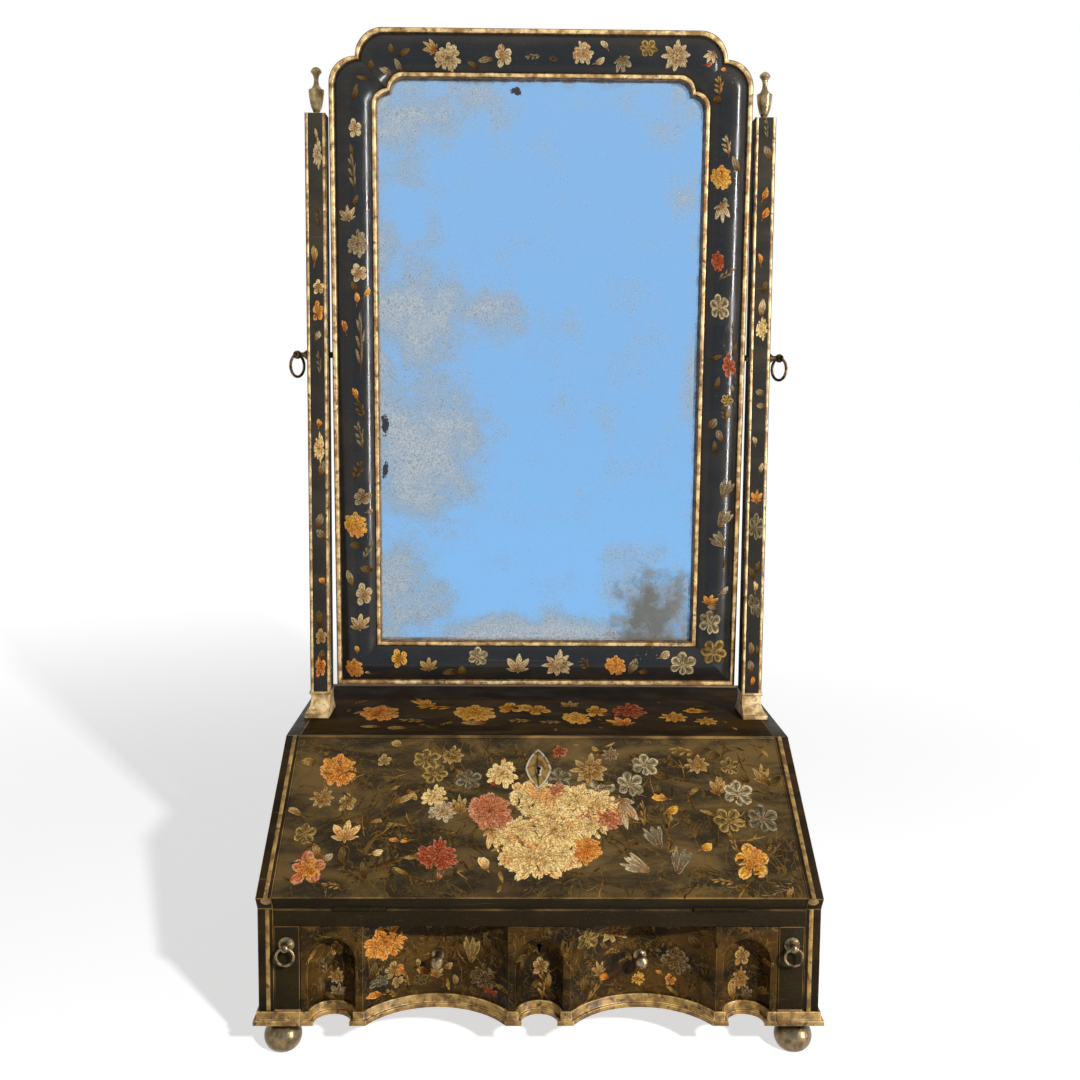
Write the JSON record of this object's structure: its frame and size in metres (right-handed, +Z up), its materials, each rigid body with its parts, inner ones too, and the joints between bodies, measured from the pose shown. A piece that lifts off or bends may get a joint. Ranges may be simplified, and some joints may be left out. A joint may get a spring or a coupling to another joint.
{
  "type": "dressing table mirror",
  "caption": "Tall swing mirror between square posts on a slant-front lacquered base with a fall, a shaped drawer, pull-out bearers and bun feet.",
  "frame": {"origin": "middle of the footprint, on the surface the feet stand on", "axes": "+X to the viewer's right, +Y to the back, +Z up"},
  "size_m": [0.4826, 0.3576, 0.8971],
  "materials": {
    "lacquer": "black japanned lacquer, worn",
    "gilt": "worn gilding on wood",
    "plain_wood": "bare aged softwood",
    "inner_lacquer": "red japanned lacquer",
    "brass": "tarnished brass",
    "pale_metal": "silvered brass, worn",
    "dark_iron": "dark iron",
    "mirror": "old foxed mirror plate"
  },
  "bodies": {
    "base": {"base_side_left": "lacquer", "base_side_right": "lacquer", "bottom_board": "plain_wood", "foot_blocks": "plain_wood", "back_board": "plain_wood", "front_rail": "lacquer", "desk_bed": "inner_lacquer", "shelf_board": "lacquer", "drawer_guides": "plain_wood", "pigeonhole_dividers": "inner_lacquer", "base_moulding_left": "gilt", "base_moulding_right": "gilt", "foot_front_left": "gilt", "foot_front_right": "gilt", "foot_back_left": "gilt", "foot_back_right": "gilt", "post_plinth_left": "gilt", "post_plinth_right": "gilt", "post_left": "lacquer", "post_right": "lacquer", "finial_left": "brass", "finial_right": "brass", "bed_hinge_leaves": "dark_iron", "hinge_pins": "dark_iron", "bed_hinge_screws": "dark_iron"},
    "drawer": {"drawer_front": "lacquer", "drawer_moulding": "gilt", "drawer_side_left": "plain_wood", "drawer_side_right": "plain_wood", "drawer_back": "plain_wood", "drawer_bottom": "plain_wood", "drawer_knob_left": "pale_metal", "drawer_knob_right": "pale_metal", "drawer_lock": "dark_iron"},
    "drawer_bolt": {"drawer_lock_bolt": "dark_iron"},
    "loper_left": {"loper_left": "lacquer", "loper_stud_left": "brass"},
    "loper_right": {"loper_right": "lacquer", "loper_stud_right": "brass"},
    "loper_ring_left": {"loper_ring_left": "brass"},
    "loper_ring_right": {"loper_ring_right": "brass"},
    "fall": {"fall_board": "lacquer", "fall_escutcheon": "brass", "fall_lock": "dark_iron", "fall_hinge_leaves": "dark_iron", "fall_hinge_screws": "dark_iron"},
    "fall_bolt": {"fall_lock_bolt": "dark_iron"},
    "mirror": {"mirror_stile_left": "lacquer", "mirror_stile_right": "lacquer", "mirror_top_rail": "lacquer", "mirror_bottom_rail": "lacquer", "outer_bead": "gilt", "sight_slip": "gilt", "mirror_glass": "mirror", "mirror_backboard": "plain_wood", "pivot_bushes": "brass"},
    "pivot_screw_left": {"pivot_screw_left": "brass"},
    "pivot_screw_right": {"pivot_screw_right": "brass"},
    "pivot_ring_left": {"pivot_ring_left": "brass"},
    "pivot_ring_right": {"pivot_ring_right": "brass"}
  },
  "joints": [
    {"name": "mirror_tilt", "type": "hinge", "parent": "base", "child": "mirror", "pos_m": [0, 0.0558, 0.593], "axis": [1, 0, 0], "range_deg": [-35, 35]},
    {"name": "fall_open", "type": "hinge", "parent": "base", "child": "fall", "pos_m": [0, -0.1665, 0.13], "axis": [1, 0, 0], "range_deg": [0, 146.8]},
    {"name": "fall_bolt_draw", "type": "slide", "parent": "fall", "child": "fall_bolt", "axis": [0, -0.8368, -0.5476], "range_m": [-0.006, 0]},
    {"name": "drawer_slide", "type": "slide", "parent": "base", "child": "drawer", "axis": [0, -1, 0], "range_m": [0, 0.2]},
    {"name": "drawer_bolt_draw", "type": "slide", "parent": "drawer", "child": "drawer_bolt", "axis": [0, 0, -1], "range_m": [-0.006, 0]},
    {"name": "loper_slide_left", "type": "slide", "parent": "base", "child": "loper_left", "axis": [0, -1, 0], "range_m": [0, 0.13]},
    {"name": "loper_ring_swing_left", "type": "hinge", "parent": "loper_left", "child": "loper_ring_left", "pos_m": [-0.211, -0.1752, 0.0995], "axis": [-1, 0, 0], "range_deg": [0, 90]},
    {"name": "pivot_screw_turn_left", "type": "hinge", "parent": "base", "child": "pivot_screw_left", "pos_m": [-0.23495, 0.0558, 0.593], "axis": [1, 0, 0], "range_deg": [-90, 90]},
    {"name": "pivot_ring_swing_left", "type": "hinge", "parent": "pivot_screw_left", "child": "pivot_ring_left", "pos_m": [-0.23495, 0.0558, 0.593], "axis": [0.4695, 0.8829, 0], "range_deg": [0, 80]},
    {"name": "loper_slide_right", "type": "slide", "parent": "base", "child": "loper_right", "axis": [0, -1, 0], "range_m": [0, 0.13]},
    {"name": "loper_ring_swing_right", "type": "hinge", "parent": "loper_right", "child": "loper_ring_right", "pos_m": [0.211, -0.1752, 0.0995], "axis": [-1, 0, 0], "range_deg": [0, 90]},
    {"name": "pivot_screw_turn_right", "type": "hinge", "parent": "base", "child": "pivot_screw_right", "pos_m": [0.23495, 0.0558, 0.593], "axis": [1, 0, 0], "range_deg": [-90, 90]},
    {"name": "pivot_ring_swing_right", "type": "hinge", "parent": "pivot_screw_right", "child": "pivot_ring_right", "pos_m": [0.23495, 0.0558, 0.593], "axis": [0.4695, -0.8829, 0], "range_deg": [0, 80]}
  ]
}
